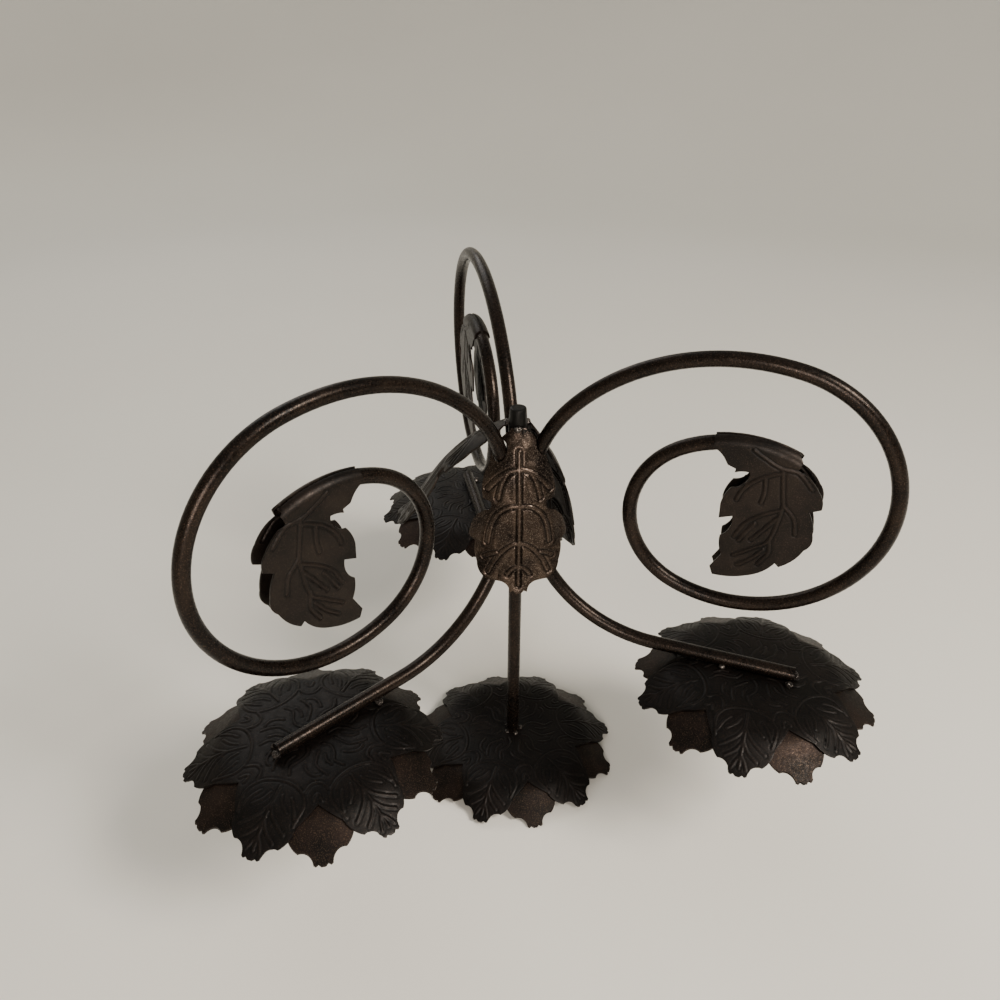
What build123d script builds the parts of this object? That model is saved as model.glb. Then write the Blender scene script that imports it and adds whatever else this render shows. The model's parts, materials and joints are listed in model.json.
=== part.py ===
from build123d import *
import os
from math import cos, hypot, radians, sin

os.makedirs("parts", exist_ok=True)

# Tiered candle holder of bent rod and pressed sheet, stored in the upturned pose: the dishes
# open downward and the scrolls, which are its feet in use, stand up. All sizes are in
# millimetres. The origin is the candle seat of the centre dish, on the centre rod's axis.

# Rods
ROD_D = 6.0
WELD_GAP = 0.05
ROD_END_RISE = 36.95

# Scroll arm, as a bender would make it: a straight run over the dish, one bend up to the hub,
# a short run along the centre rod, then the scroll as (bend radius, turn in degrees)
ARM_AZIMUTHS = {"back": 90.0, "left": 211.0, "right": 328.7}
ARM_OVERRUN = 16.0
LOWER_BEND_R = 60.0
HUB_RUN = 6.4
SCROLL_BENDS = [(62.9, 42.0), (88.9, 59.0), (52.0, 106.7), (55.9, 84.0), (35.5, 132.8), (48.3, 49.3)]

# Dishes: two nested pressed plates, each with six leaf-shaped lobes
DISH_CIRCLE_R = 110.0
TIER_RISE = 74.5
# The outer dishes are welded on with a plain lobe along the arm
ARM_DISH_TURN = 30.0
PLATE_T = 0.8
PLATE_COUNT = 2
LOBES = 6
LOBE_TIP_R = 51.5
LOBE_VALLEY_R = 33.0
LOBE_HALF_W = 12.4
LOBE_BELLY_R = 38.5
SHOULDER_R = 46.4
SHOULDER_HALF_W = 8.8
VALLEY_BULGE = 0.5
BELLY_BULGE = 1.0
SCALLOP_BULGE = -1.5
TONGUE_HALF_W = 3.6
TOOTH_DEPTH = 0.8
# Half of the toothed tip, as (share of its half width, share of the tooth depth)
TOOTH_EDGE = [(0.0, 0.0), (0.23, 0.0), (0.5, 1.0), (0.77, 0.33)]
SEAT_R = 16.0
NEST_EASE = 0.6
BOWL_R = 100.0
BOWL_TURN = 10.0
RIM_BEND_R = 20.0
RIM_TURN = 20.0
RIM_REACH = 20.0

# Collar over the top of the centre rod, and the hub leaves welded round it
COLLAR_D = 8.4
COLLAR_H = 20.0
COLLAR_END_T = 1.5
LEAF_T = 0.8
HUB_LEAF_DROP = 5.5
HUB_LEAF_AZIMUTHS = {"front": 261.0, "right": 34.0, "left": 150.6}
HUB_LEAF_SPLAYS = {"front": 0.0, "right": 7.0, "left": 32.0}
HUB_LEAF_LEANS = {"front": 15.0, "right": 15.0, "left": 35.0}
HUB_LEAF_BELLY_R = 90.0
HUB_LEAF_BELLY_TURN = 30.0
HUB_LEAF_RUN = 17.0
HUB_LEAF_FLARE_R = 25.0
HUB_LEAF_FLARE_TURN = 27.0
LEAF_BLANK_DEPTH = 60.0
NOTCH_GAP = 0.5

# Half outline of a hub leaf from the middle of its top edge to its tip, as
# (distance from the midrib, distance below the top, bulge of the edge to the next point)
HUB_LEAF_EDGE = [
    (0.0, -2.0, 0.0),
    (3.4, -2.0, 0.0),
    (3.4, 1.0, 0.4),
    (8.6, 6.5, 0.6),
    (12.0, 14.5, 0.8),
    (15.2, 26.0, 0.0),
    (14.9, 29.2, 0.0),
    (11.6, 29.6, -1.2),
    (14.0, 33.8, 1.2),
    (20.2, 44.5, 0.4),
    (20.4, 48.8, 0.0),
    (18.2, 50.0, 0.6),
    (17.6, 60.5, 1.2),
    (13.8, 67.2, 0.0),
    (8.6, 67.6, -1.4),
    (3.8, 72.2, 0.0),
    (2.4, 71.5, 0.0),
    (1.2, 72.6, 0.0),
    (0.0, 72.6, 0.0),
]

# Outline of a scroll leaf in the plane of its arm, clockwise, as (distance outwards and distance up
# from the centre of the scroll's last bend, bulge of the edge to the next point)
SCROLL_LEAF_EDGE = [
    (-11.2, 54.3, 0.4),
    (3.8, 55.3, 1.2),
    (14.8, 51.3, 0.8),
    (21.6, 45.8, 0.0),
    (20.5, 42.6, 1.0),
    (29.3, 34.8, 0.8),
    (31.4, 27.8, 0.0),
    (27.3, 25.8, 0.6),
    (30.3, 15.8, 1.2),
    (28.3, 8.6, 1.0),
    (20.4, -1.2, 0.0),
    (18.8, 0.3, 1.2),
    (8.8, -8.2, 0.8),
    (-4.3, -10.7, 0.0),
    (-5.7, -7.2, 0.0),
    (-2.0, -0.4, 0.6),
    (-3.7, 8.3, -1.6),
    (-0.2, 18.3, 0.0),
    (-5.2, 16.5, 0.0),
    (-5.4, 23.0, 0.5),
    (-2.4, 30.8, -2.2),
    (3.5, 38.6, -0.4),
    (-2.0, 37.6, 0.0),
    (-1.8, 39.2, 0.0),
    (-5.0, 40.4, 0.0),
    (-6.0, 42.1, -0.6),
    (-11.2, 46.8, 0.0),
]

# Sizes worked out from those above
ROD_R = ROD_D / 2
DISH_T = PLATE_COUNT * PLATE_T
ARM_HUB_R = ROD_D + WELD_GAP
ARM_LOW_Z = TIER_RISE + DISH_T + ROD_R + WELD_GAP
HUB_LOW_Z = ARM_LOW_Z + LOWER_BEND_R
SCROLL_Z = HUB_LOW_Z + HUB_RUN
CENTRE_ROD_TOP = SCROLL_Z + ROD_END_RISE
HUB_LEAF_TOP = CENTRE_ROD_TOP - HUB_LEAF_DROP
STANDING = (Align.CENTER, Align.CENTER, Align.MIN)


def bend_path(start, heading, bends):
    """Tangent arcs in the XY plane from (radius, turn) pairs; a turn of 0 is a straight run of
    that length, and a positive turn is clockwise."""
    x, y = start
    edges = []
    for size, turn in bends:
        ahead = (cos(radians(heading)), sin(radians(heading)))
        if turn == 0:
            edge = Line((x, y), (x + size * ahead[0], y + size * ahead[1]))
        else:
            edge = JernArc((x, y), ahead, size, -turn)
        edges.append(edge)
        end = edge @ 1
        x, y = end.X, end.Y
        heading -= turn
    return edges, (x, y), heading


def sheet_profile(start, heading, bends, thickness):
    """Face of a bent sheet's section, where the sheet lies to the right of its path."""
    outer, end, end_heading = bend_path(start, heading, bends)
    side = radians(heading - 90)
    inner_start = (start[0] + thickness * cos(side), start[1] + thickness * sin(side))
    inner_bends = []
    for size, turn in bends:
        inner_bends.append((size - thickness * (turn > 0) + thickness * (turn < 0), turn))
    inner, inner_end, _ = bend_path(inner_start, heading, inner_bends)
    caps = [Line(start, inner_start), Line(end, inner_end)]
    return make_face(outer + inner + caps)


def bulged_edges(points, closed):
    """Lines and arcs through (x, y, bulge) points; a positive bulge lies left of the run."""
    following = points[1:] + points[:1] if closed else points[1:]
    edges = []
    for (x0, y0, bulge), (x1, y1, _) in zip(points, following):
        if bulge == 0:
            edges.append(Line((x0, y0), (x1, y1)))
            continue
        length = hypot(x1 - x0, y1 - y0)
        mid_x = (x0 + x1) / 2 - bulge * (y1 - y0) / length
        mid_y = (y0 + y1) / 2 + bulge * (x1 - x0) / length
        edges.append(ThreePointArc((x0, y0), (mid_x, mid_y), (x1, y1)))
    return edges


def arm_bends():
    """The whole arm's bends from its dish end to the scroll's inner end."""
    straight = DISH_CIRCLE_R + ARM_OVERRUN - ARM_HUB_R - LOWER_BEND_R
    return [(straight, 0), (LOWER_BEND_R, 90.0), (HUB_RUN, 0)] + SCROLL_BENDS


def arm_rod(radius):
    """A rod of this radius along the arm's path, in the XZ plane."""
    start = (DISH_CIRCLE_R + ARM_OVERRUN, ARM_LOW_Z)
    edges, _, _ = bend_path(start, 180.0, arm_bends())
    path = Plane.XZ * Wire(edges)
    section = Plane(origin=path @ 0, z_dir=path % 0) * Circle(radius)
    return sweep(section, path=path)


def scroll_end_arc():
    """Centre and radius of the scroll's last bend."""
    start = (DISH_CIRCLE_R + ARM_OVERRUN, ARM_LOW_Z)
    _, (x, z), heading = bend_path(start, 180.0, arm_bends()[:-1])
    radius = SCROLL_BENDS[-1][0]
    return x + radius * sin(radians(heading)), z - radius * cos(radians(heading)), radius


def lobe_half_edge():
    """Half of one lobe's outline, from its tip to the valley beside it."""
    valley_angle = radians(180 / LOBES)
    valley = (LOBE_VALLEY_R * cos(valley_angle), LOBE_VALLEY_R * sin(valley_angle), 0.0)
    teeth = [(LOBE_TIP_R - TOOTH_DEPTH * cut, TONGUE_HALF_W * out, 0.0) for out, cut in TOOTH_EDGE]
    return teeth + [
        (LOBE_TIP_R - TOOTH_DEPTH, TONGUE_HALF_W, SCALLOP_BULGE),
        (SHOULDER_R, SHOULDER_HALF_W, BELLY_BULGE),
        (LOBE_BELLY_R, LOBE_HALF_W, VALLEY_BULGE),
        valley,
    ]


def lobed_outline():
    """Closed outline of a plate with a lobe along +X."""
    half = bulged_edges([(x, -y, bulge) for x, y, bulge in lobe_half_edge()], False)
    other = [edge.mirror(Plane.XZ) for edge in half]
    edges = []
    for step in range(LOBES):
        turn = Rot(0, 0, 360 / LOBES * step)
        edges += [turn * edge for edge in half + other]
    return make_face(edges)


def dish_plate(level):
    """One pressed plate; level 0 is the plain plate with the candle seat, 1 the veined one."""
    ease = NEST_EASE * (PLATE_COUNT - 1 - level)
    inset = PLATE_T * (PLATE_COUNT - 1 - level)
    bends = [
        (SEAT_R - ease, 0),
        (BOWL_R - inset, BOWL_TURN),
        (RIM_BEND_R - inset, RIM_TURN),
        (RIM_REACH, 0),
    ]
    top = PLATE_T * (level + 1)
    profile = Plane.XZ * sheet_profile((0, top), 0.0, bends, PLATE_T)
    shell = revolve(profile, Axis.Z)
    depth = LOBE_TIP_R
    blank = Pos(0, 0, -depth) * extrude(lobed_outline(), 2 * depth)
    turn = 180 / LOBES * (PLATE_COUNT - 1 - level)
    return Rot(0, 0, turn) * (shell & blank)


def centre_rod():
    """Straight rod from the centre dish up into the collar."""
    return Pos(0, 0, DISH_T) * Cylinder(ROD_R, CENTRE_ROD_TOP - DISH_T, align=STANDING)


def top_collar():
    """Closed cap over the rod's top, which the hub leaves are welded to."""
    foot = CENTRE_ROD_TOP + COLLAR_END_T - COLLAR_H
    body = Pos(0, 0, foot) * Cylinder(COLLAR_D / 2, COLLAR_H, align=STANDING)
    body = chamfer(body.edges().group_by(Axis.Z)[-1], COLLAR_END_T / 2)
    bore = Pos(0, 0, foot) * Cylinder(ROD_R + WELD_GAP, COLLAR_H - COLLAR_END_T, align=STANDING)
    return body - bore


def hub_leaf(axis_lean):
    """Hub leaf facing +X: a bent sheet turned about a leaning axis, cut to the leaf's outline.
    The more the axis leans, the flatter the leaf opens."""
    bends = [
        (HUB_LEAF_BELLY_R, HUB_LEAF_BELLY_TURN),
        (HUB_LEAF_RUN, 0),
        (HUB_LEAF_FLARE_R, -HUB_LEAF_FLARE_TURN),
    ]
    start = (COLLAR_D / 2 + WELD_GAP + LEAF_T, HUB_LEAF_TOP)
    profile = Plane.XZ * sheet_profile(start, HUB_LEAF_BELLY_TURN - 90, bends, LEAF_T)
    lean = radians(axis_lean)
    axis = Axis((0, 0, HUB_LEAF_TOP), (sin(lean), 0, cos(lean)))
    shell = revolve(profile, axis)
    half = bulged_edges([(y, -s, bulge) for y, s, bulge in HUB_LEAF_EDGE], False)
    other = [edge.mirror(Plane.YZ) for edge in half]
    outline = Plane(origin=(0, 0, HUB_LEAF_TOP), x_dir=(0, 1, 0), z_dir=(1, 0, 0)) * make_face(half + other)
    return shell & extrude(outline, LEAF_BLANK_DEPTH)


def placed_hub_leaf(side, notch_tools):
    """A hub leaf in its place, splayed about its neck and notched where the arms pass."""
    neck = Location((COLLAR_D / 2, 0, HUB_LEAF_TOP))
    splay = neck * Rot(0, -HUB_LEAF_SPLAYS[side], 0) * neck.inverse()
    leaf = Rot(0, 0, HUB_LEAF_AZIMUTHS[side]) * (splay * hub_leaf(HUB_LEAF_LEANS[side]))
    for tool in notch_tools:
        leaf = leaf - tool
    return leaf


def scroll_leaf():
    """Scroll leaf on the -Y side of an arm in the XZ plane: a flat sheet whose outer edge
    wraps a quarter round the rod's last bend, cut to the leaf's outline."""
    cx, cz, radius = scroll_end_arc()
    inner = ROD_R + WELD_GAP
    bends = [(radius, 0), (inner + LEAF_T, 90.0)]
    profile = sheet_profile((0, inner + LEAF_T), 0.0, bends, LEAF_T)
    cap = revolve(profile, Axis.Y)
    cap = Pos(cx, 0, cz) * Rot(180, 0, 0) * cap
    outline = make_face(bulged_edges([(cx + out, cz + up, b) for out, up, b in SCROLL_LEAF_EDGE], True))
    slab = Plane.XZ.offset(-ROD_R) * extrude(outline, ROD_D * 2)
    return cap & slab


def save(shape, name):
    export_step(shape, f"parts/{name}.step")


save(centre_rod(), "centre_rod")
save(top_collar(), "top_collar")

rod = arm_rod(ROD_R)
notch = arm_rod(ROD_R + NOTCH_GAP)
front_leaf = scroll_leaf()
rear_leaf = front_leaf.mirror(Plane.XZ)
notches = []
for side, azimuth in ARM_AZIMUTHS.items():
    turn = Rot(0, 0, azimuth)
    save(turn * rod, f"scroll_arm_{side}")
    save(turn * front_leaf, f"scroll_leaf_{side}_a")
    save(turn * rear_leaf, f"scroll_leaf_{side}_b")
    notches.append(turn * notch)

for side in HUB_LEAF_AZIMUTHS:
    save(placed_hub_leaf(side, notches), f"hub_leaf_{side}")

plates = {"seat_plate": dish_plate(0), "leaf_plate": dish_plate(1)}
for name, plate in plates.items():
    save(plate, f"{name}_centre")
    for side, azimuth in ARM_AZIMUTHS.items():
        placed = Rot(0, 0, azimuth) * Pos(DISH_CIRCLE_R, 0, TIER_RISE) * Rot(0, 0, ARM_DISH_TURN) * plate
        save(placed, f"{name}_{side}")
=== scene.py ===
import json
from math import asin, copysign, cos, hypot, radians, sin

import bpy
import bmesh
import numpy as np
from mathutils import Matrix, Vector, noise
from mathutils.geometry import delaunay_2d_cdt

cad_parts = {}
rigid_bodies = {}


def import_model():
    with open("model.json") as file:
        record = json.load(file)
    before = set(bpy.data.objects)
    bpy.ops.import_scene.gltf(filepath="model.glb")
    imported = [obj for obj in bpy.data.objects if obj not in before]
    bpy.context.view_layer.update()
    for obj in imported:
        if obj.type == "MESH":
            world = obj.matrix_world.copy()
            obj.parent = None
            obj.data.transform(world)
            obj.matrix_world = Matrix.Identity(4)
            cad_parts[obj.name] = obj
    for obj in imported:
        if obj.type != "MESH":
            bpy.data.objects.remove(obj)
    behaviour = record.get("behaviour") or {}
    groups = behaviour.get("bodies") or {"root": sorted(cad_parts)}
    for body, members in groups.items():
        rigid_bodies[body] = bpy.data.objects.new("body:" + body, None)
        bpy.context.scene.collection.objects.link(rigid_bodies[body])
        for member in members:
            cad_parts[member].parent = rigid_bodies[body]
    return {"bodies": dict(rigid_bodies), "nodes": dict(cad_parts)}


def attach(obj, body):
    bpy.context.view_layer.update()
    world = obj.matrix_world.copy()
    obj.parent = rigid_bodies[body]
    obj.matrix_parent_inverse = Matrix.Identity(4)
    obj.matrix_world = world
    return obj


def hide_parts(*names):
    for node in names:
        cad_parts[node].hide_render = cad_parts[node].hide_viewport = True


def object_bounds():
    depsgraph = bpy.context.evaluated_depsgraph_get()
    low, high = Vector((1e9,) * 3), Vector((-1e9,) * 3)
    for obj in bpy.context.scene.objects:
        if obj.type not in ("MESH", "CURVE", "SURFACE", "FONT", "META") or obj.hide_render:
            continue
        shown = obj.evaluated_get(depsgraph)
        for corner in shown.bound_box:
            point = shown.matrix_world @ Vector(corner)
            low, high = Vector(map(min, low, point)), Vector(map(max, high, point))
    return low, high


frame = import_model()
cad_box = [list(corner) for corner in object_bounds()]
bpy.ops.object.select_all(action="DESELECT")
body = next(iter(frame["bodies"]))
MM = 0.001

# Centre rod and scroll arms: mild steel round bar, bent cold and welded at the hub.
# All of it is sprayed with a dark bronze hammer paint, which dries with a fine copper
# flake, a slight pebbled skin and a warm sheen along the side that the light meets.


def hex_colour(code):
    """An sRGB hex colour as linear red, green, blue and alpha."""
    parts = [int(code[i:i + 2], 16) / 255 for i in (0, 2, 4)]
    linear = [p / 12.92 if p <= 0.04045 else ((p + 0.055) / 1.055) ** 2.4 for p in parts]
    return (*linear, 1.0)


def add_node(tree, kind, settings=None, inputs=None):
    """Adds a shader node; each input is a plain value or another node's output."""
    node = tree.nodes.new(kind)
    for name, value in (settings or {}).items():
        setattr(node, name, value)
    for name, value in (inputs or {}).items():
        if isinstance(value, bpy.types.NodeSocket):
            tree.links.new(value, node.inputs[name])
        else:
            node.inputs[name].default_value = value
    return node


# The paint's skin reflects less than bare lacquer does
PAINT_GLOSS = 0.3


def hammer_paint(name, dark, warm, flake, flakes=0.5, roughness=0.38, metallic=0.55, marks=None):
    """Bronze hammer paint on steel. marks are the colours of a pressed vein's ridge and crease,
    which follow the piece's own vein attribute; the crease colour is painted shade."""
    cloud_size = 16 * MM
    pebble_size = 1.3 * MM
    # The real flake is about 0.1 mm; it is drawn at 0.4 mm so that the render shows it
    flake_size = 0.4 * MM
    pebble_depth = 0.06 * MM
    ridge_mix = 0.35
    painted_crease_shade_mix = 0.85
    material = bpy.data.materials.new(name)
    material.use_nodes = True
    tree = material.node_tree
    shader = tree.nodes["Principled BSDF"]
    place = add_node(tree, "ShaderNodeTexCoord").outputs["Object"]
    cloud = add_node(tree, "ShaderNodeTexNoise", None,
                     {"Vector": place, "Scale": 1 / cloud_size, "Detail": 4.0}).outputs[0]
    pebble = add_node(tree, "ShaderNodeTexNoise", None,
                      {"Vector": place, "Scale": 1 / pebble_size, "Detail": 2.0}).outputs[0]
    grain = add_node(tree, "ShaderNodeTexNoise", None,
                     {"Vector": place, "Scale": 1 / flake_size, "Detail": 1.0}).outputs[0]
    patch = add_node(tree, "ShaderNodeMapRange", None,
                     {"Value": cloud, "From Min": 0.38, "From Max": 0.64}).outputs[0]
    colour = add_node(tree, "ShaderNodeMixRGB", None,
                      {"Fac": patch, "Color1": hex_colour(dark), "Color2": hex_colour(warm)}).outputs[0]
    if marks:
        vein = add_node(tree, "ShaderNodeAttribute", {"attribute_name": "vein"}).outputs["Fac"]
        rubbed = add_node(tree, "ShaderNodeMapRange", None,
                          {"Value": vein, "From Min": 0.4, "From Max": 1.0, "To Max": ridge_mix}).outputs[0]
        colour = add_node(tree, "ShaderNodeMixRGB", None,
                          {"Fac": rubbed, "Color1": colour, "Color2": hex_colour(marks[0])}).outputs[0]
    spot = add_node(tree, "ShaderNodeMapRange", None,
                    {"Value": grain, "From Min": 0.55, "From Max": 0.75, "To Max": flakes}).outputs[0]
    colour = add_node(tree, "ShaderNodeMixRGB", None,
                      {"Fac": spot, "Color1": colour, "Color2": hex_colour(flake)}).outputs[0]
    # The creases are painted near black: painted shade in the vein's hollows.
    if marks:
        painted_crease_shade = add_node(tree, "ShaderNodeMapRange", None,
                        {"Value": vein, "From Min": -0.2, "From Max": -0.9, "To Max": painted_crease_shade_mix}).outputs[0]
        colour = add_node(tree, "ShaderNodeMixRGB", None,
                          {"Fac": painted_crease_shade, "Color1": colour, "Color2": hex_colour(marks[1])}).outputs[0]
    dull = add_node(tree, "ShaderNodeMapRange", None,
                    {"Value": pebble, "From Min": 0.3, "From Max": 0.7,
                     "To Min": roughness - 0.07, "To Max": roughness + 0.1}).outputs[0]
    skin = add_node(tree, "ShaderNodeMath", {"operation": "MULTIPLY_ADD"},
                    {0: grain, 1: 0.4, 2: pebble}).outputs[0]
    bump = add_node(tree, "ShaderNodeBump", None,
                    {"Height": skin, "Distance": pebble_depth, "Strength": 0.8}).outputs[0]
    shader.inputs["Metallic"].default_value = metallic
    shader.inputs["Specular IOR Level"].default_value = PAINT_GLOSS
    tree.links.new(colour, shader.inputs["Base Color"])
    tree.links.new(dull, shader.inputs["Roughness"])
    tree.links.new(bump, shader.inputs["Normal"])
    return material


def finish_node(name, material):
    """Gives a CAD node its paint."""
    for slot in frame["nodes"][name].material_slots:
        slot.material = material


SIDES = ("back", "left", "right")
bar_paint = hammer_paint("bronze_hammer_paint_on_round_bar", "0c0907", "1f1813", "604c40", flakes=0.37,
                         roughness=0.28, metallic=0.7)
finish_node("centre_rod", bar_paint)
for side in SIDES:
    finish_node(f"scroll_arm_{side}", bar_paint)

# Collar: a short closed tube pushed over the end of the centre rod and welded there.
# It is the darkest and roughest piece, lumpy and drawn in towards its end.

COLLAR_R = 4.2
COLLAR_END_SHARE = 0.84
COLLAR_RIM = 0.7
LUMP_SIZE = 2.4
LUMP_SHARE = 0.03


def lumpy_collar(low, high, material):
    """A closed cylinder between two heights, drawn in over its upper half and uneven all over."""
    bpy.ops.mesh.primitive_cylinder_add(vertices=40, radius=COLLAR_R * MM, depth=high - low,
                                        location=(0, 0, (low + high) / 2), end_fill_type="TRIFAN")
    piece = bpy.context.object
    piece.name = "near_black_collar"
    rim = piece.modifiers.new("rim", "BEVEL")
    rim.width = COLLAR_RIM * MM
    rim.segments = 2
    rim.limit_method = "ANGLE"
    rim.angle_limit = radians(40)
    bpy.ops.object.modifier_apply(modifier="rim")
    bpy.ops.object.mode_set(mode="EDIT")
    bpy.ops.mesh.select_all(action="SELECT")
    bpy.ops.mesh.subdivide(number_cuts=5)
    bpy.ops.object.mode_set(mode="OBJECT")
    bpy.ops.object.transform_apply(location=True, rotation=True, scale=True)
    for vertex in piece.data.vertices:
        risen = (vertex.co.z - low) / (high - low)
        lump = noise.noise(vertex.co / (LUMP_SIZE * MM))
        share = 1 - (1 - COLLAR_END_SHARE) * max(0, risen * 2 - 1) - LUMP_SHARE * (1 + lump)
        vertex.co.x *= share
        vertex.co.y *= share
    bpy.ops.object.shade_smooth_by_angle(angle=radians(50))
    piece.data.materials.append(material)
    piece.select_set(False)
    return piece


collar_paint = hammer_paint("near_black_paint_on_steel_collar", "040403", "0c0a09", "38302b", flakes=0.2,
                            roughness=0.42, metallic=0.5)
collar_node = frame["nodes"]["top_collar"]
collar_heights = [(collar_node.matrix_world @ vertex.co).z for vertex in collar_node.data.vertices]
collar = lumpy_collar(min(collar_heights), max(collar_heights), collar_paint)
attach(collar, body)
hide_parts("top_collar")

# Plain dish plates: six-lobed blanks of 0.8 mm sheet, dished in a press and left smooth.
# The candle stands in them in use. Their lobes show between the veined lobes, and their
# paint has a sandy brown speckle.

plain_paint = hammer_paint("sandy_bronze_paint_on_plain_sheet", "0e0b09", "231a16", "63503f", flakes=0.42,
                           roughness=0.44, metallic=0.7)
for side in ("centre", *SIDES):
    finish_node(f"seat_plate_{side}", plain_paint)

# Veined dish plates: the same blanks with leaf veins pressed in, nested on the plain ones
# half a lobe round. Each vein is a raised ridge with a crease on both sides; the paint lies
# thin on the ridges, and the creases are painted black as painted shade.

SHEET_T = 0.8
SHEET_STEP = 0.48


def arc_points(points, closed, step):
    """Points along lines and arcs through (x, y, bulge); a positive bulge lies left of the run."""
    following = points[1:] + points[:1] if closed else points[1:]
    line = []
    for (x0, y0, bulge), (x1, y1, _) in zip(points, following):
        chord = hypot(x1 - x0, y1 - y0)
        ahead = np.array([(x1 - x0) / chord, (y1 - y0) / chord])
        left = np.array([-ahead[1], ahead[0]])
        count = max(1, round(chord / step))
        shares = np.arange(count) / count
        if bulge == 0:
            line += [np.array([x0, y0]) + ahead * chord * share for share in shares]
            continue
        radius = (chord ** 2 / 4 + bulge ** 2) / (2 * abs(bulge))
        half_angle = asin(chord / 2 / radius)
        middle = np.array([(x0 + x1) / 2, (y0 + y1) / 2]) + left * (bulge - copysign(radius, bulge))
        for share in shares:
            angle = half_angle * (2 * share - 1)
            line.append(middle + radius * (sin(angle) * ahead + copysign(cos(angle), bulge) * left))
    if not closed:
        line.append(np.array(points[-1][:2]))
    return np.array(line)


def smooth_line(points, step=0.8):
    """Close-set points on a smooth curve through the given ones."""
    spread = np.array([points[0], *points, points[-1]], float)
    line = []
    for a, b, c, d in zip(spread, spread[1:], spread[2:], spread[3:]):
        count = max(1, round(hypot(*(c - b)) / step))
        for t in np.arange(count) / count:
            line.append(0.5 * (2 * b + (c - a) * t + (2 * a - 5 * b + 4 * c - d) * t ** 2
                               + (3 * b - a - 3 * c + d) * t ** 3))
    line.append(spread[-1])
    return np.array(line)


def turned(points, degrees):
    """Points in a plane, turned about its origin."""
    angle = radians(degrees)
    return points @ np.array([[cos(angle), sin(angle)], [-sin(angle), cos(angle)]])


def nearest_gap(points, line):
    """Distance of each point from a line of close-set points."""
    gap = np.full(len(points), np.inf)
    for start, end in zip(line, line[1:]):
        run = end - start
        along = np.clip((points - start) @ run / (run @ run), 0, 1)
        off = points - start - along[:, None] * run
        gap = np.minimum(gap, np.hypot(off[:, 0], off[:, 1]))
    return gap


def sheet_blank(outline, step):
    """Flat sheet of small, even triangles inside a closed outline."""
    low, high = outline.min(axis=0), outline.max(axis=0)
    rows = []
    for number, y in enumerate(np.arange(low[1], high[1], step * sin(radians(60)))):
        x = np.arange(low[0] + step / 2 * (number % 2), high[0], step)
        rows.append(np.column_stack([x, np.full(len(x), y)]))
    grid = np.concatenate(rows)
    inside = np.zeros(len(grid), bool)
    for (x0, y0), (x1, y1) in zip(outline, np.roll(outline, -1, axis=0)):
        crosses = (y0 > grid[:, 1]) != (y1 > grid[:, 1])
        if crosses.any():
            reach = x0 + (grid[:, 1] - y0) * (x1 - x0) / (y1 - y0)
            inside ^= crosses & (grid[:, 0] < reach)
    grid = grid[inside]
    edge_gap = nearest_gap(grid, np.concatenate([outline, outline[:1]]))
    grid = grid[edge_gap > step * 0.55]
    count = len(outline)
    edges = [(i, (i + 1) % count) for i in range(count)]
    points = [Vector(p) for p in np.concatenate([outline, grid])]
    found = delaunay_2d_cdt(points, edges, [], 1, 1e-7)
    flat = np.array([tuple(v) for v in found[0]])
    triangles = np.array([list(f) for f in found[2]])
    a, b, c = flat[triangles[:, 0]], flat[triangles[:, 1]], flat[triangles[:, 2]]
    area = (b[:, 0] - a[:, 0]) * (c[:, 1] - a[:, 1]) - (b[:, 1] - a[:, 1]) * (c[:, 0] - a[:, 0])
    triangles[area < 0] = triangles[area < 0][:, ::-1]
    return flat, triangles


def press_veins(flat, veins, ridge_half, ridge_height, crease_depth, swell=0.0):
    """How far the veins push each point out of the sheet, and their mark for the paint: 1 on a
    ridge, -1 in a crease. The sheet between them swells a little, most at swell_gap away."""
    swell_gap = 2.2
    ridge_foot = 1.3
    ridge_slope = 0.9
    crease_out = 1.65
    crease_width = 0.42
    gap = np.full(len(flat), np.inf)
    for vein in veins:
        gap = np.minimum(gap, nearest_gap(flat, vein))
    rise = np.clip((ridge_half * ridge_foot - gap) / (ridge_half * ridge_slope), 0, 1)
    rise = rise * rise * (3 - 2 * rise)
    crease = np.exp(-((gap - ridge_half * crease_out) / (ridge_half * crease_width)) ** 2)
    away = (gap / swell_gap) ** 2
    domed = swell * away * np.exp(1 - away)
    return rise * ridge_height - crease * crease_depth + domed, rise - crease


def sheet_piece(name, places, triangles, mark, material, nodes):
    """A closed sheet from its outer face, with softened rims, in place of CAD nodes."""
    rim = 0.12
    mesh = bpy.data.meshes.new(name)
    mesh.from_pydata((places * MM).tolist(), [], triangles.tolist())
    mesh.attributes.new("vein", "FLOAT", "POINT").data.foreach_set("value", mark.astype(np.float32))
    piece = bpy.data.objects.new(name, mesh)
    bpy.context.collection.objects.link(piece)
    bpy.context.view_layer.objects.active = piece
    piece.select_set(True)
    wall = piece.modifiers.new("wall", "SOLIDIFY")
    wall.thickness = SHEET_T * MM
    wall.offset = -1
    bpy.ops.object.modifier_apply(modifier="wall")
    soft = piece.modifiers.new("rim", "BEVEL")
    soft.width = rim * MM
    soft.segments = 2
    soft.limit_method = "ANGLE"
    soft.angle_limit = radians(62)
    bpy.ops.object.modifier_apply(modifier="rim")
    bpy.ops.object.shade_smooth_by_angle(angle=radians(55))
    piece.data.materials.append(material)
    piece.select_set(False)
    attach(piece, body)
    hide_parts(*nodes)
    return piece


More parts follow.
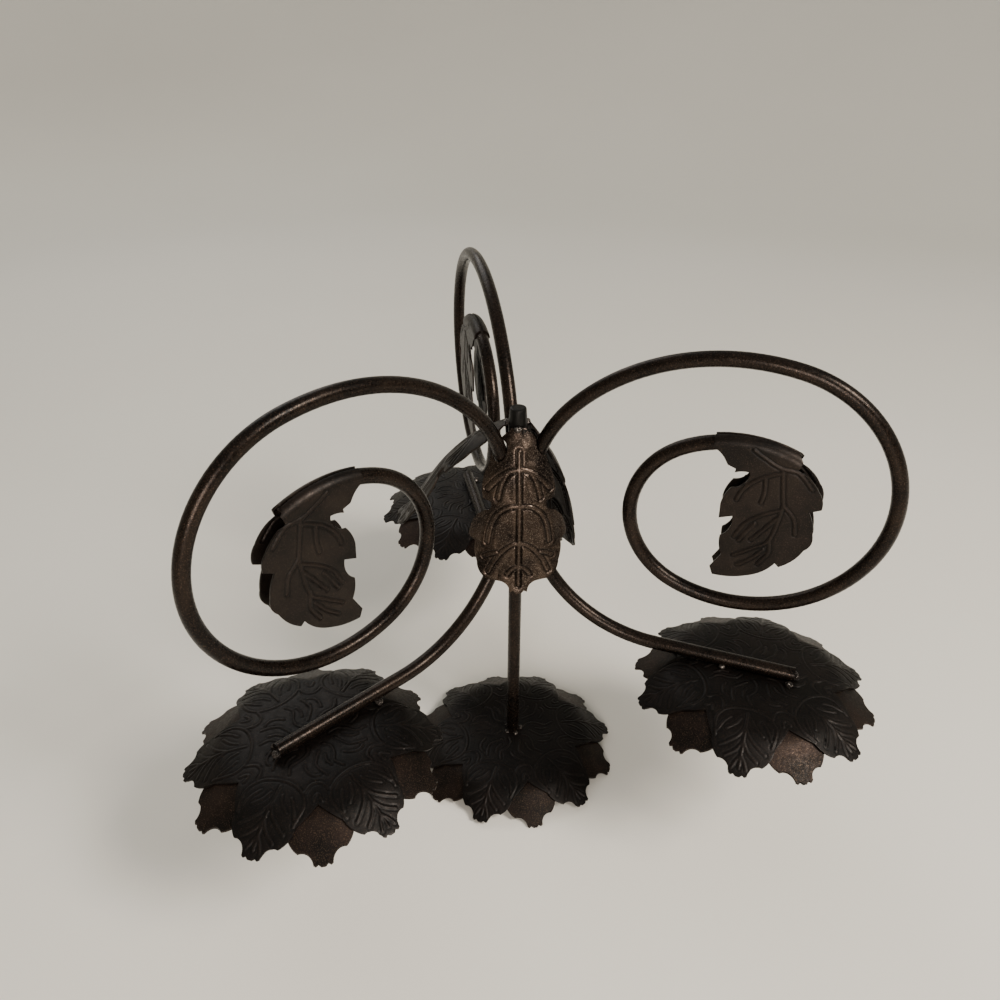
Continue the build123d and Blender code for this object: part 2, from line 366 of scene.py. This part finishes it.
LOBES = 6
LOBE_EDGE = [(51.5, 0.0, 0.0), (51.5, 0.83, 0.0), (50.7, 1.8, 0.0), (51.24, 2.77, 0.0), (50.7, 3.6, -1.5),
             (46.4, 8.8, 1.0), (38.5, 12.4, 0.5), (28.58, 16.5, 0.0)]
LOBE_VEINS = [
    [(26.0, 0.0), (33.0, 0.0), (41.0, 0.0), (48.6, 0.0)],
    [(29.2, 2.4), (32.4, 4.0), (35.2, 7.2)],
    [(33.6, 0.2), (37.6, 2.6), (40.6, 6.6), (41.8, 9.0)],
    [(39.4, 0.2), (42.6, 2.4), (45.2, 6.2)],
    [(44.4, 0.2), (46.6, 1.8), (48.8, 2.8)],
    [(29.4, 6.4), (32.2, 8.6), (36.4, 10.6)],
]
BASE_ARC = [(38.6, 11.2), (31.0, 12.0), (25.6, 8.0), (23.6, 0.0)]
# Wandering veins of the middle, as (distance from the centre, angle from the lobe in degrees)
MIDDLE_VEINS = [
    [(6.0, 4.0), (9.2, 13.0), (12.8, 6.0), (16.6, -3.0), (20.6, 1.5)],
    [(8.6, 42.0), (11.8, 34.0), (15.2, 31.0), (18.4, 36.0), (21.4, 42.0)],
    [(15.6, 15.5), (18.2, 20.0), (20.4, 27.0), (20.8, 34.0)],
    [(27.8, 21.0), (24.8, 24.5), (23.9, 30.0), (24.8, 35.5), (27.8, 39.0)],
    [(11.8, 50.0), (14.8, 47.5), (17.6, 50.5)],
    [(31.6, 27.2), (29.4, 28.4), (28.7, 30.0), (29.4, 31.6), (31.6, 32.8)],
]
SEAT_R = 16.0
BOWL_R = 100.0
BOWL_TURN = 10.0
RIM_BEND_R = 20.0
RIM_TURN = 20.0
DISH_TOP = 1.6
DISH_CIRCLE_R = 110.0
TIER_RISE = 74.5
# The outer dishes are welded on with a plain lobe along the arm
ARM_DISH_TURN = 30.0
ARM_AZIMUTHS = {"back": 90.0, "left": 211.0, "right": 328.7}


def mirrored(points):
    """Points with the second number's sign changed."""
    return [(x, -y) for x, y in points]


def dish_veins():
    """All the veins of one plate: each lobe's fishbone and base arc, and the middle's curls."""
    one = [smooth_line(vein) for vein in LOBE_VEINS]
    one += [smooth_line(mirrored(vein)) for vein in LOBE_VEINS[1:]]
    one.append(smooth_line(BASE_ARC + mirrored(BASE_ARC[-2::-1])))
    for vein in MIDDLE_VEINS:
        one.append(smooth_line([(r * cos(radians(a)), r * sin(radians(a))) for r, a in vein]))
    return [turned(vein, 360 / LOBES * step) for step in range(LOBES) for vein in one]


def dished(flat, height):
    """Places on the dished plate's upper face, pushed out along its slope by the height."""
    r = np.hypot(flat[:, 0], flat[:, 1])
    bowl = radians(BOWL_TURN)
    rim = radians(BOWL_TURN + RIM_TURN)
    bowl_end = SEAT_R + BOWL_R * sin(bowl)
    rim_end = bowl_end + RIM_BEND_R * (sin(rim) - sin(bowl))
    in_bowl = np.arcsin(np.clip((r - SEAT_R) / BOWL_R, 0, sin(bowl)))
    in_rim = np.arcsin(np.clip((r - bowl_end) / RIM_BEND_R + sin(bowl), sin(bowl), sin(rim)))
    slope = np.where(r < bowl_end, in_bowl, in_rim)
    fall = BOWL_R * (1 - np.cos(in_bowl)) + RIM_BEND_R * (cos(bowl) - np.cos(in_rim))
    fall += np.clip(r - rim_end, 0, None) * np.tan(rim)
    out = 1 + height * np.sin(slope) / np.maximum(r, 1)
    return np.column_stack([flat * out[:, None], DISH_TOP - fall + height * np.cos(slope)])


half_lobe = arc_points([(x, -y, bulge) for x, y, bulge in LOBE_EDGE], False, SHEET_STEP)
one_lobe = np.concatenate([half_lobe[:0:-1], half_lobe[:-1] * [1, -1]])
dish_outline = np.concatenate([turned(one_lobe, 360 / LOBES * step) for step in range(LOBES)])
dish_flat, dish_triangles = sheet_blank(dish_outline, SHEET_STEP)
dish_height, dish_mark = press_veins(dish_flat, dish_veins(), ridge_half=0.5, ridge_height=0.2,
                                     crease_depth=0.19)
dish_places = dished(dish_flat, dish_height)
# The near-black crease colour is painted shade in the creases.
veined_paint = hammer_paint("dark_bronze_paint_on_veined_sheet", "060504", "110d0b", "45362d", flakes=0.3,
                            roughness=0.44, metallic=0.55, marks=("1a1411", "020202"))


def at_dish(places, side):
    """Places of one plate moved to its dish."""
    if side == "centre":
        return places
    azimuth = ARM_AZIMUTHS[side]
    plan = turned(places[:, :2], azimuth + ARM_DISH_TURN)
    angle = radians(azimuth)
    seat = np.array([DISH_CIRCLE_R * cos(angle), DISH_CIRCLE_R * sin(angle)])
    return np.column_stack([plan + seat, places[:, 2] + TIER_RISE])


for side in ("centre", *SIDES):
    sheet_piece(f"veined_dish_plate_{side}", at_dish(dish_places, side), dish_triangles, dish_mark,
                veined_paint, [f"leaf_plate_{side}"])

# Hub leaves: three leaves cut from sheet, veined in a press, bellied and flared at the tip,
# then welded by the neck round the collar. Their edges are notched where the arms pass.
# The front one takes a lighter copy of the leaf paint as painted light; the other two take the darker copy
# as painted shade.

WELD_GAP = 0.05
HUB_LEAF_TOP = 177.0
HUB_LEAF_AZIMUTHS = {"front": 261.0, "right": 34.0, "left": 150.6}
HUB_LEAF_SPLAYS = {"front": 0.0, "right": 7.0, "left": 32.0}
HUB_LEAF_LEANS = {"front": 15.0, "right": 15.0, "left": 35.0}
HUB_LEAF_NOTCHES = {"front": ("left", "right"), "right": ("right", "back"), "left": ("left", "back")}
HUB_LEAF_BENDS = [(90.0, 30.0), (17.0, 0.0), (25.0, -27.0)]
NECK_HEADING = -60.0
NOTCH_GAP = 0.5
HUB_LEAF_EDGE = [
    (0.0, 0.2, 0.0), (3.4, 0.2, 0.0), (3.4, 1.0, 0.4), (8.6, 6.5, 0.6), (12.0, 14.5, 0.8), (15.2, 26.0, 0.0),
    (14.9, 29.2, 0.0), (11.6, 29.6, -1.2), (14.0, 33.8, 1.2), (20.2, 44.5, 0.4), (20.4, 48.8, 0.0),
    (18.2, 50.0, 0.6), (17.6, 60.5, 1.2), (13.8, 67.2, 0.0), (8.6, 67.6, -1.4), (3.8, 72.2, 0.0),
    (2.4, 71.5, 0.0), (1.2, 72.6, 0.0), (0.0, 72.6, 0.0),
]
HUB_MIDRIB = [(0.0, 8.5), (0.0, 25.0), (0.0, 45.0), (0.0, 69.0)]
HUB_SIDE_VEINS = [
    [(0.0, 15.2), (4.0, 16.2), (8.8, 19.6), (13.0, 24.8)],
    [(5.2, 17.4), (7.4, 21.5), (8.9, 27.6)],
    [(0.0, 30.5), (5.0, 31.3), (9.2, 34.6), (11.4, 39.5), (12.6, 44.5), (13.2, 49.0)],
    [(0.0, 48.2), (3.6, 49.4), (7.2, 52.8), (10.6, 58.2), (13.0, 64.0)],
    [(9.6, 53.6), (12.0, 54.6), (14.4, 56.4)],
    [(0.0, 60.2), (2.4, 61.2), (4.9, 64.2)],
]


def hub_leaf_section():
    """The bent sheet's outer face from neck to tip, as (out, up) from the top of the rod's axis."""
    step = 0.1
    heading = NECK_HEADING
    point = np.array([COLLAR_R + WELD_GAP + SHEET_T, 0.0])
    line = [point]
    for size, turn in HUB_LEAF_BENDS:
        length = size if turn == 0 else size * radians(abs(turn))
        count = round(length / step)
        for _ in range(count):
            heading -= turn / count / 2
            point = point + length / count * np.array([cos(radians(heading)), sin(radians(heading))])
            heading -= turn / count / 2
            line.append(point)
    return np.array(line)


def bent_hub_leaf(flat, height, lean):
    """Places of the flat leaf's points on the sheet, which is turned about a leaning axis."""
    section = hub_leaf_section()
    c, s = cos(radians(lean)), sin(radians(lean))
    along = section[:, 0] * s + section[:, 1] * c
    radius = section[:, 0] * c - section[:, 1] * s
    side, up = flat[:, 0], flat[:, 1]
    low = np.full(len(flat), -30.0)
    high = np.full(len(flat), 60.0)
    for _ in range(40):
        out = (low + high) / 2
        wanted = np.interp(out * s + up * c, along[::-1], radius[::-1])
        beyond = np.hypot(out * c - up * s, side) > wanted
        high = np.where(beyond, out, high)
        low = np.where(beyond, low, out)
    return np.column_stack([out + height, side, up])


def hub_leaf_place(side):
    """Where a leaf that faces +X goes: splayed about its neck, then turned round the rod."""
    neck = Matrix.Translation((COLLAR_R, 0, 0))
    splay = neck @ Matrix.Rotation(radians(-HUB_LEAF_SPLAYS[side]), 4, "Y") @ neck.inverted()
    turn = Matrix.Rotation(radians(HUB_LEAF_AZIMUTHS[side]), 4, "Z")
    return np.array(Matrix.Translation((0, 0, HUB_LEAF_TOP)) @ turn @ splay)


def cut_notch(piece, side):
    """Cuts a leaf clear of one arm."""
    mesh = bmesh.new()
    mesh.from_mesh(frame["nodes"][f"scroll_arm_{side}"].data)
    bmesh.ops.remove_doubles(mesh, verts=mesh.verts, dist=0.001 * MM)
    cutter_mesh = bpy.data.meshes.new("arm_clearance")
    mesh.to_mesh(cutter_mesh)
    mesh.free()
    cutter = bpy.data.objects.new("arm_clearance", cutter_mesh)
    bpy.context.collection.objects.link(cutter)
    swell = cutter.modifiers.new("swell", "DISPLACE")
    swell.strength = NOTCH_GAP * MM
    swell.mid_level = 0
    notch = piece.modifiers.new("notch", "BOOLEAN")
    notch.operation = "DIFFERENCE"
    notch.solver = "EXACT"
    notch.object = cutter
    bpy.context.view_layer.objects.active = piece
    bpy.ops.object.modifier_apply(modifier="notch")
    bpy.data.objects.remove(cutter)


half_leaf = arc_points([(y, -s, bulge) for y, s, bulge in HUB_LEAF_EDGE], False, SHEET_STEP * 0.9)
hub_outline = np.concatenate([half_leaf[:-1], (half_leaf * [-1, 1])[:0:-1]])
hub_flat, hub_triangles = sheet_blank(hub_outline, SHEET_STEP * 0.9)
hub_veins = [smooth_line([(y, -s) for y, s in vein]) for vein in [HUB_MIDRIB] + HUB_SIDE_VEINS]
hub_veins += [smooth_line([(-y, -s) for y, s in vein]) for vein in HUB_SIDE_VEINS]
hub_height, hub_mark = press_veins(hub_flat, hub_veins, ridge_half=0.68, ridge_height=0.4,
                                   crease_depth=0.4, swell=0.45)
# Lit and shaded copies of one leaf paint: the lighter is painted light on the front leaf; the darker is
# painted shade on the other hub leaves and is the scroll leaves' own dull brown.
front_leaf_lit_paint = hammer_paint("lit_bronze_paint_on_front_hub_leaf", "191412", "42372f", "9a8b7f", flakes=0.44,
                         roughness=0.31, metallic=0.9, marks=("453a33", "040303"))
dull_and_shaded_leaf_paint = hammer_paint("dull_and_shaded_bronze_paint_on_leaf", "0d0a08", "1d1713", "4c3e35", flakes=0.35,
                            roughness=0.42, metallic=0.6, marks=("211a16", "030202"))
for side in HUB_LEAF_AZIMUTHS:
    bent = bent_hub_leaf(hub_flat, hub_height, HUB_LEAF_LEANS[side])
    place = hub_leaf_place(side)
    # The front leaf gets the lit copy, painted light; the others get the shaded copy, painted shade.
    paint = front_leaf_lit_paint if side == "front" else dull_and_shaded_leaf_paint
    leaf = sheet_piece(f"veined_hub_leaf_{side}", bent @ place[:3, :3].T + place[:3, 3], hub_triangles,
                       hub_mark, paint, [f"hub_leaf_{side}"])
    for arm in HUB_LEAF_NOTCHES[side]:
        cut_notch(leaf, arm)

# Scroll leaves: a leaf on each side of every scroll's end, cut and veined like the others.
# The outer edge is rolled a quarter round the bar and tacked to it, so the pair closes over
# the bar like a pod. Their flat faces are dull brown.

ROD_R = 3.0
LAST_BEND_OUT = 89.83
LAST_BEND_UP = 135.68
LAST_BEND_R = 48.3
ROLL_R = ROD_R + WELD_GAP + SHEET_T
SCROLL_LEAF_EDGE = [
    (-11.2, 54.3, 0.4), (3.8, 55.3, 1.2), (14.8, 51.3, 0.8), (21.6, 45.8, 0.0),
    (20.5, 42.6, 1.0), (29.3, 34.8, 0.8), (31.4, 27.8, 0.0), (27.3, 25.8, 0.6),
    (30.3, 15.8, 1.2), (28.3, 8.6, 1.0), (20.4, -1.2, 0.0), (18.8, 0.3, 1.2),
    (8.8, -8.2, 0.8), (-4.3, -10.7, 0.0), (-5.7, -7.2, 0.0), (-2.0, -0.4, 0.6),
    (-3.7, 8.3, -1.6), (-0.2, 18.3, 0.0), (-5.2, 16.5, 0.0), (-5.4, 23.0, 0.5),
    (-2.4, 30.8, -2.2), (3.5, 38.6, -0.4), (-2.0, 37.6, 0.0), (-1.8, 39.2, 0.0),
    (-5.0, 40.4, 0.0), (-6.0, 42.1, -0.6), (-11.2, 46.8, 0.0),
]
SCROLL_VEINS = [
    [(3.7, 48.1), (13.5, 42.6), (20.8, 41.4), (26.5, 35.6)],
    [(15.0, 42.0), (16.0, 36.0), (17.4, 27.9), (18.8, 25.7), (22.4, 21.6), (23.8, 14.9)],
    [(17.6, 27.0), (16.3, 15.9), (14.3, 9.2), (9.9, 5.6), (2.6, 0.2)],
    [(15.0, 10.0), (15.6, 4.5), (12.4, -1.9)],
    [(15.4, 40.4), (11.0, 38.6), (6.2, 35.6), (2.0, 30.8), (0.2, 25.9)],
    [(9.4, 37.4), (10.0, 31.1), (9.3, 26.3)],
    [(17.0, 24.6), (10.0, 20.5), (4.8, 15.6), (1.7, 9.0)],
    [(8.6, 16.7), (6.0, 12.4), (3.6, 7.6)],
    [(16.2, 20.6), (11.8, 14.1), (8.2, 8.9)],
    [(13.5, 5.6), (9.7, 0.4), (4.7, -4.0)],
]


def rolled_scroll_leaf(flat, height):
    """Places of the flat leaf's points on the -Y side of an arm that runs along +X."""
    rho = np.hypot(flat[:, 0], flat[:, 1])
    over = np.clip(rho - LAST_BEND_R, 0, ROLL_R * 0.999)
    side = np.sqrt(ROLL_R ** 2 - over ** 2) + height
    return np.column_stack([LAST_BEND_OUT + flat[:, 0], -side, LAST_BEND_UP + flat[:, 1]])


scroll_outline = arc_points(SCROLL_LEAF_EDGE, True, SHEET_STEP * 0.9)[::-1]
reach = np.hypot(scroll_outline[:, 0], scroll_outline[:, 1])
scroll_outline = scroll_outline * np.minimum(1, (LAST_BEND_R + ROLL_R * 0.98) / reach)[:, None]
scroll_flat, scroll_triangles = sheet_blank(scroll_outline, SHEET_STEP * 0.9)
scroll_veins = [smooth_line(vein) for vein in SCROLL_VEINS]
scroll_height, scroll_mark = press_veins(scroll_flat, scroll_veins, ridge_half=0.58, ridge_height=0.24,
                                         crease_depth=0.28)
near_leaf = rolled_scroll_leaf(scroll_flat, scroll_height)
for side in SIDES:
    for letter, mirror in (("a", 1), ("b", -1)):
        places = near_leaf * [1, mirror, 1]
        plan = turned(places[:, :2], ARM_AZIMUTHS[side])
        sheet_piece(f"veined_scroll_leaf_{side}_{letter}", np.column_stack([plan, places[:, 2]]),
                    scroll_triangles[:, ::mirror], scroll_mark, dull_and_shaded_leaf_paint,
                    [f"scroll_leaf_{side}_{letter}"])

# Weld beads: short gas-shielded tacks where the bars cross the dishes, round the foot of the
# centre rod, at the hub and under the collar. They are small uneven lumps in a glossy paint,
# which is painted lighter than the bars' as a painted highlight.

DISH_CROSSING_Z = TIER_RISE + DISH_TOP + 0.6
ARM_BEADS = [(80.0, 3.0, DISH_CROSSING_Z - 0.4, 1.5), (96.0, -2.8, DISH_CROSSING_Z, 1.3),
             (124.4, -4.2, DISH_CROSSING_Z, 1.7), (126.2, 0.6, DISH_CROSSING_Z + 1.4, 1.9)]
HUB_BEADS = [(4.4, 30.0, 141.0, 1.9), (4.6, 150.0, 143.5, 2.0), (4.4, 270.0, 142.0, 1.8),
             (4.9, 255.0, 176.4, 1.7), (4.8, 285.0, 175.6, 1.5), (4.8, 30.0, 176.0, 1.7),
             (4.7, 140.0, 176.2, 1.8), (4.4, 205.0, 164.0, 1.5), (4.4, 335.0, 164.6, 1.5)]
FOOT_BEADS = [(3.9, 357.0, 2.1, 1.3), (3.4, 60.0, 1.8, 1.1), (3.4, 130.0, 1.8, 1.2),
              (3.5, 205.0, 1.8, 1.1), (3.4, 285.0, 1.8, 1.2)]


def weld_bead(x, y, z, radius):
    """One lump of weld, flattened a little and uneven."""
    ripple_share = 0.35
    ripples = 1.2
    bpy.ops.mesh.primitive_ico_sphere_add(subdivisions=4, radius=radius * MM,
                                          location=(x * MM, y * MM, z * MM))
    lump = bpy.context.object
    bpy.ops.object.mode_set(mode="EDIT")
    bpy.ops.mesh.select_all(action="SELECT")
    bpy.ops.transform.resize(value=(1.0, 1.15, 0.8))
    bpy.ops.object.mode_set(mode="OBJECT")
    for vertex in lump.data.vertices:
        ripple = noise.noise((vertex.co + lump.location) / (radius * MM) * ripples)
        vertex.co *= 1 + ripple_share * ripple
    bpy.ops.object.transform_apply(location=True, rotation=True, scale=True)
    bpy.ops.object.shade_smooth()
    lump.select_set(False)
    return lump


def polar_bead(r, azimuth, z, radius):
    """A bead placed round the centre rod."""
    return weld_bead(r * cos(radians(azimuth)), r * sin(radians(azimuth)), z, radius)


beads = [polar_bead(*bead) for bead in HUB_BEADS + FOOT_BEADS]
for side in SIDES:
    for r, across, z, radius in ARM_BEADS:
        x, y = turned(np.array([[r, across]]), ARM_AZIMUTHS[side])[0]
        beads.append(weld_bead(x, y, z, radius))
for bead in beads:
    bead.select_set(True)
bpy.context.view_layer.objects.active = beads[0]
bpy.ops.object.join()
weld_beads = bpy.context.object
weld_beads.name = "weld_beads"
weld_beads.select_set(False)
# The bead paint is lighter than the bars' paint: a painted highlight.
weld_beads.data.materials.append(hammer_paint("glossy_paint_with_painted_highlight_on_weld_bead", "1d1a18", "4a4441", "b8b0a8",
                                              flakes=0.4, roughness=0.22, metallic=0.75))
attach(weld_beads, body)

# Stage: a pale matt sheet that lies flat under the object and rises far off on every side,
# lit by soft boxes. It isn't part of the object.

FLOOR_FLAT_R = 1.1
FLOOR_SIZE = 7.0
FLOOR_RISE = 0.55

bpy.ops.mesh.primitive_grid_add(x_subdivisions=120, y_subdivisions=120, size=FLOOR_SIZE,
                                location=(0, 0, cad_box[0][2]))
floor = bpy.context.object
floor.name = "studio_floor"
for vertex in floor.data.vertices:
    vertex.co.z += FLOOR_RISE * max(0, hypot(vertex.co.x, vertex.co.y) - FLOOR_FLAT_R) ** 2
bpy.ops.object.shade_smooth()
floor.select_set(False)
paper = bpy.data.materials.new("matt_white_paper")
paper.use_nodes = True
paper_tree = paper.node_tree
paper_shader = paper_tree.nodes["Principled BSDF"]
paper_place = add_node(paper_tree, "ShaderNodeTexCoord").outputs["Object"]
paper_cloud = add_node(paper_tree, "ShaderNodeTexNoise", None,
                       {"Vector": paper_place, "Scale": 3.0, "Detail": 3.0}).outputs[0]
paper_colour = add_node(paper_tree, "ShaderNodeMixRGB", None,
                        {"Fac": paper_cloud, "Color1": hex_colour("e2dfd6"),
                         "Color2": hex_colour("eae7df")}).outputs[0]
paper_tree.links.new(paper_colour, paper_shader.inputs["Base Color"])
paper_shader.inputs["Roughness"].default_value = 0.6
floor.data.materials.append(paper)

AIM = Vector((0.0, 0.0, 0.09))
SOFT_BOXES = [
    ("key_softbox", (0.65, -0.7, 1.0), 0.4, 18.0, "fff6ea"),
    ("front_softbox", (-0.2, -1.0, 0.42), 0.4, 8.0, "fff4ea"),
    ("back_softbox", (-0.3, 0.95, 0.9), 0.7, 3.0, "ffffff"),
]
for name, place, size, power, tint in SOFT_BOXES:
    lamp = bpy.data.lights.new(name, "AREA")
    lamp.size = size
    lamp.energy = power
    lamp.color = hex_colour(tint)[:3]
    holder = bpy.data.objects.new(name, lamp)
    holder.location = place
    holder.rotation_euler = (AIM - Vector(place)).to_track_quat("-Z", "Y").to_euler()
    bpy.context.collection.objects.link(holder)
world = bpy.data.worlds.new("studio_room")
world.use_nodes = True
world.node_tree.nodes["Background"].inputs["Color"].default_value = hex_colour("ecebe6")
world.node_tree.nodes["Background"].inputs["Strength"].default_value = 0.54
bpy.context.scene.world = world

# Camera: the photograph's place, worked out from the bars' real bends. It stands in front,
# a little to the left, and looks down on the object.

CAMERA_PLACE = (-73.7, -314.9, 342.4)
CAMERA_AZIMUTH = 78.1
CAMERA_FALL = 32.08
CAMERA_ROLL = 0.37
FOCAL_SHARE = 0.88769
SENSOR = 36.0
lens = bpy.data.cameras.new("photo_camera")
lens.sensor_width = SENSOR
lens.lens = SENSOR * FOCAL_SHARE
lens.clip_start = 0.01
lens.clip_end = 30
camera = bpy.data.objects.new("photo_camera", lens)
camera.matrix_world = (Matrix.Translation([p * MM for p in CAMERA_PLACE])
                       @ Matrix.Rotation(radians(CAMERA_AZIMUTH - 90), 4, "Z")
                       @ Matrix.Rotation(radians(90 - CAMERA_FALL), 4, "X")
                       @ Matrix.Rotation(radians(CAMERA_ROLL), 4, "Z"))
bpy.context.collection.objects.link(camera)
bpy.context.scene.camera = camera
